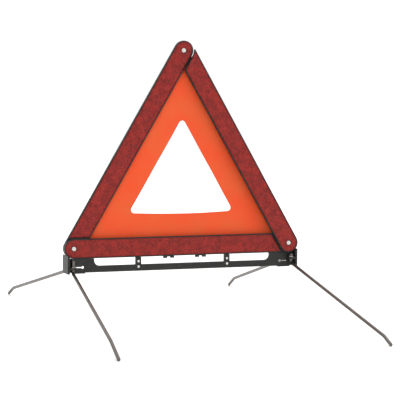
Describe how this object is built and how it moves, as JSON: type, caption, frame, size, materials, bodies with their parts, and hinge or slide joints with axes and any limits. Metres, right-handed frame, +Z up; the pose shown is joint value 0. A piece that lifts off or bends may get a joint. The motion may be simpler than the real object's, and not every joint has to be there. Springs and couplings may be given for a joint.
{
  "type": "warning triangle",
  "caption": "Folding roadside warning triangle: three reflector arms round an orange fabric panel with an open centre, on a black base with swing-out wire legs.",
  "frame": {"origin": "on the ground at the middle of the footprint, halfway between the four feet", "axes": "+X to the right, +Y to the rear so the reflectors face -Y, +Z up"},
  "size_m": [0.4762, 0.7976, 0.5075],
  "materials": {
    "black_plastic": "moulded ABS, fine spark texture",
    "red_lens": "clear red acrylic over a prismatic rear face",
    "orange_fabric": "fluorescent coated polyester, plain weave",
    "rivet_steel": "bright zinc-plated steel",
    "steel_wire": "drawn steel wire, dull plated",
    "nylon": "natural nylon"
  },
  "bodies": {
    "base": {"bottom_arm_back": "black_plastic", "bottom_arm_lens": "red_lens", "orange_panel": "orange_fabric", "left_pivot_rivet": "rivet_steel", "left_pivot_washer": "nylon", "right_pivot_rivet": "rivet_steel", "right_pivot_washer": "nylon", "base_rail": "black_plastic", "left_post_upper_rivet": "rivet_steel", "left_post_lower_rivet": "rivet_steel", "right_post_upper_rivet": "rivet_steel", "right_post_lower_rivet": "rivet_steel", "left_panel_screw": "rivet_steel", "left_panel_washer": "rivet_steel", "right_panel_screw": "rivet_steel", "right_panel_washer": "rivet_steel", "left_loop_clip": "black_plastic", "right_loop_clip": "black_plastic", "left_bracket": "black_plastic", "left_bracket_screw_1": "rivet_steel", "left_bracket_screw_2": "rivet_steel", "right_bracket": "black_plastic", "right_bracket_screw_1": "rivet_steel", "right_bracket_screw_2": "rivet_steel"},
    "left_arm": {"left_arm_back": "black_plastic", "left_arm_lens": "red_lens", "apex_rivet": "rivet_steel", "apex_washer": "rivet_steel", "apex_snap_stud": "rivet_steel"},
    "right_arm": {"right_arm_back": "black_plastic", "right_arm_lens": "red_lens"},
    "front_left_leg": {"front_left_leg": "steel_wire", "front_left_leg_retainer": "steel_wire"},
    "front_right_leg": {"front_right_leg": "steel_wire", "front_right_leg_retainer": "steel_wire"},
    "rear_left_leg": {"rear_left_leg": "steel_wire", "rear_left_leg_retainer": "steel_wire"},
    "rear_right_leg": {"rear_right_leg": "steel_wire", "rear_right_leg_retainer": "steel_wire"}
  },
  "joints": [
    {"name": "left_arm_fold", "type": "hinge", "parent": "base", "child": "left_arm", "pos_m": [-0.205, 0, 0.1346], "axis": [0, 0.9998, 0.0186], "range_deg": [0, 60], "deforming": ["orange_panel"]},
    {"name": "right_arm_fold", "type": "hinge", "parent": "base", "child": "right_arm", "pos_m": [0.205, -0.0066, 0.1346], "axis": [0, -1, 0], "range_deg": [0, 60]},
    {"name": "front_left_leg_swing", "type": "hinge", "parent": "base", "child": "front_left_leg", "pos_m": [-0.209, -0.012, 0.0915], "axis": [0, -0.2071, 0.9783], "range_deg": [0, 93.7]},
    {"name": "front_right_leg_swing", "type": "hinge", "parent": "base", "child": "front_right_leg", "pos_m": [0.209, -0.012, 0.0981], "axis": [0, 0.226, -0.9741], "range_deg": [0, 92.5]},
    {"name": "rear_left_leg_swing", "type": "hinge", "parent": "base", "child": "rear_left_leg", "pos_m": [-0.209, 0.012, 0.0957], "axis": [0, -0.2152, -0.9766], "range_deg": [0, 93.7]},
    {"name": "rear_right_leg_swing", "type": "hinge", "parent": "base", "child": "rear_right_leg", "pos_m": [0.209, 0.012, 0.1023], "axis": [0, 0.2281, 0.9736], "range_deg": [0, 92.5]}
  ]
}
